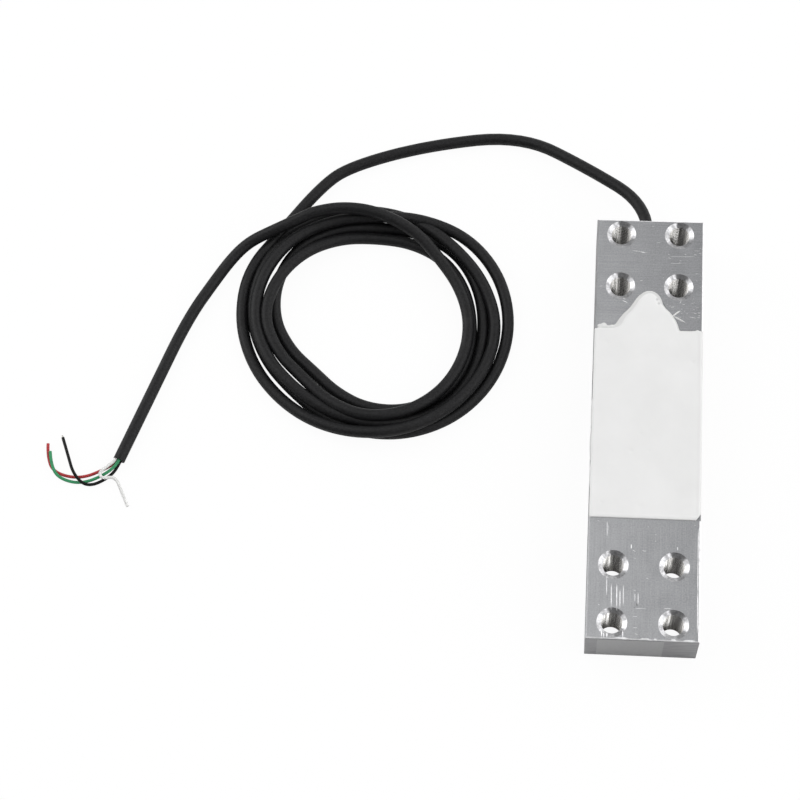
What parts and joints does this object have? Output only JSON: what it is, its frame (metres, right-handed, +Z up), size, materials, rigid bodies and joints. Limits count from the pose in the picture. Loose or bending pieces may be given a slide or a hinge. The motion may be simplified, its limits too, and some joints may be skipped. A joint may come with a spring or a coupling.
{
  "type": "weighing load cell",
  "caption": "Single-point weighing load cell: aluminium bar with dumb-bell flexure, tapped end holes, white potted gauges and a coiled black cable with bare cores.",
  "frame": {"origin": "middle of the bar's underside, on the surface it lies on", "axes": "+Y along the bar towards the cable end, +Z up, +X across the bar"},
  "size_m": [0.2275, 0.1932, 0.0226],
  "materials": {
    "bar_aluminium": "sand-matted milled aluminium with bright chamfers",
    "label_foil": "blank satin foil label",
    "seal_compound": "black sealing compound",
    "cable_jacket": "satin black PVC jacket",
    "silicone": "white poured silicone",
    "gauge_film": "amber polyimide film",
    "gauge_foil": "etched constantan foil",
    "board": "glass-epoxy board",
    "solder": "tinned copper pads",
    "resistor_body": "black chip resistor",
    "lead_insulation": "thin insulated twin lead",
    "core_black": "black core insulation",
    "core_green": "green core insulation",
    "core_white": "white core insulation",
    "core_red": "red core insulation"
  },
  "bodies": {
    "root": {"beam_body": "bar_aluminium", "end_label": "label_foil", "cable_seal": "seal_compound", "cable_entry": "cable_jacket", "cable_lead": "cable_jacket", "cable_coil": "cable_jacket", "cable_tail": "cable_jacket", "terminal_board": "board", "terminal_pads": "solder", "zero_resistor": "resistor_body", "span_resistor": "resistor_body", "silicone_top": "silicone", "silicone_bottom": "silicone", "gauge_film_top_far": "gauge_film", "gauge_foil_top_far": "gauge_foil", "gauge_lead_top_far": "lead_insulation", "gauge_film_top_near": "gauge_film", "gauge_foil_top_near": "gauge_foil", "gauge_lead_top_near": "lead_insulation", "gauge_film_bottom_far": "gauge_film", "gauge_foil_bottom_far": "gauge_foil", "gauge_lead_bottom_far": "lead_insulation", "gauge_film_bottom_near": "gauge_film", "gauge_foil_bottom_near": "gauge_foil", "gauge_lead_bottom_near": "lead_insulation", "inner_core_black": "core_black", "wire_black": "core_black", "inner_core_green": "core_green", "wire_green": "core_green", "inner_core_white": "core_white", "wire_white": "core_white", "inner_core_red": "core_red", "wire_red": "core_red"}
  },
  "joints": []
}
